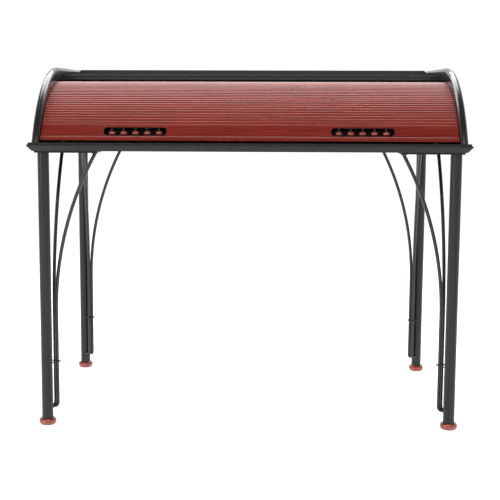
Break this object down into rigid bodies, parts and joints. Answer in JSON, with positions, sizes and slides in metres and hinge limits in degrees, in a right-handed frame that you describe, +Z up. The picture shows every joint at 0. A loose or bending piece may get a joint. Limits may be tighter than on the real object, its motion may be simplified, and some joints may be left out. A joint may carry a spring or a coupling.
{
  "type": "roll top desk",
  "caption": "Writing desk with a curved slatted roll top between rounded gables, on round legs with bun feet, braced by bent rods.",
  "frame": {"origin": "on the floor, under the middle of the desk top", "axes": "+X to the sitter's right along the width, +Y from the front to the back, +Z up"},
  "size_m": [1.134, 0.74, 0.948],
  "materials": {
    "ebonised_wood": "black ebonised satin lacquer over fine grain",
    "stained_staves": "thin staves, glued edge to edge and stained black",
    "dowel_wood": "bare beech",
    "screw_steel": "blackened steel",
    "felt": "black felt",
    "leg_lacquer": "black satin lacquer",
    "red_turned_wood": "red stained, turned and glossy lacquered",
    "plate_steel": "blackened steel plate",
    "rod_steel": "dark brown lacquered steel rod",
    "red_stained_wood": "red stained wood with satin lacquer",
    "canvas": "dark glued canvas",
    "gloss_black": "glossy black lacquer"
  },
  "bodies": {
    "case": {"desk_top": "ebonised_wood", "gable_left": "ebonised_wood", "gable_right": "ebonised_wood", "top_board": "ebonised_wood", "back_panel": "ebonised_wood", "back_rail": "ebonised_wood", "inner_back": "stained_staves", "case_dowels": "dowel_wood", "plate_screws": "screw_steel", "bumpers": "felt", "leg_front_left": "leg_lacquer", "leg_front_right": "leg_lacquer", "leg_back_left": "leg_lacquer", "leg_back_right": "leg_lacquer", "foot_front_left": "red_turned_wood", "foot_front_right": "red_turned_wood", "foot_back_left": "red_turned_wood", "foot_back_right": "red_turned_wood", "plate_front_left": "plate_steel", "plate_front_right": "plate_steel", "plate_back_left": "plate_steel", "plate_back_right": "plate_steel", "side_rod_front_left": "rod_steel", "side_rod_front_right": "rod_steel", "side_rod_back_left": "rod_steel", "side_rod_back_right": "rod_steel", "depth_rod_front_left": "rod_steel", "depth_rod_front_right": "rod_steel", "depth_rod_back_left": "rod_steel", "depth_rod_back_right": "rod_steel", "staple_front_left": "rod_steel", "staple_front_right": "rod_steel", "staple_back_left": "rod_steel", "staple_back_right": "rod_steel"},
    "curtain": {"lift_rail": "red_stained_wood", "slats": "red_stained_wood", "canvas": "canvas", "grip_cup_left": "gloss_black", "grip_cup_right": "gloss_black", "grip_posts_left": "gloss_black", "grip_posts_right": "gloss_black", "grip_buns_left": "red_turned_wood", "grip_buns_right": "red_turned_wood"}
  },
  "joints": [
    {"name": "curtain_roll", "type": "hinge", "parent": "case", "child": "curtain", "pos_m": [0, -0.0479, 0.55], "axis": [-1, 0, 0], "range_deg": [0, 41.5]}
  ]
}
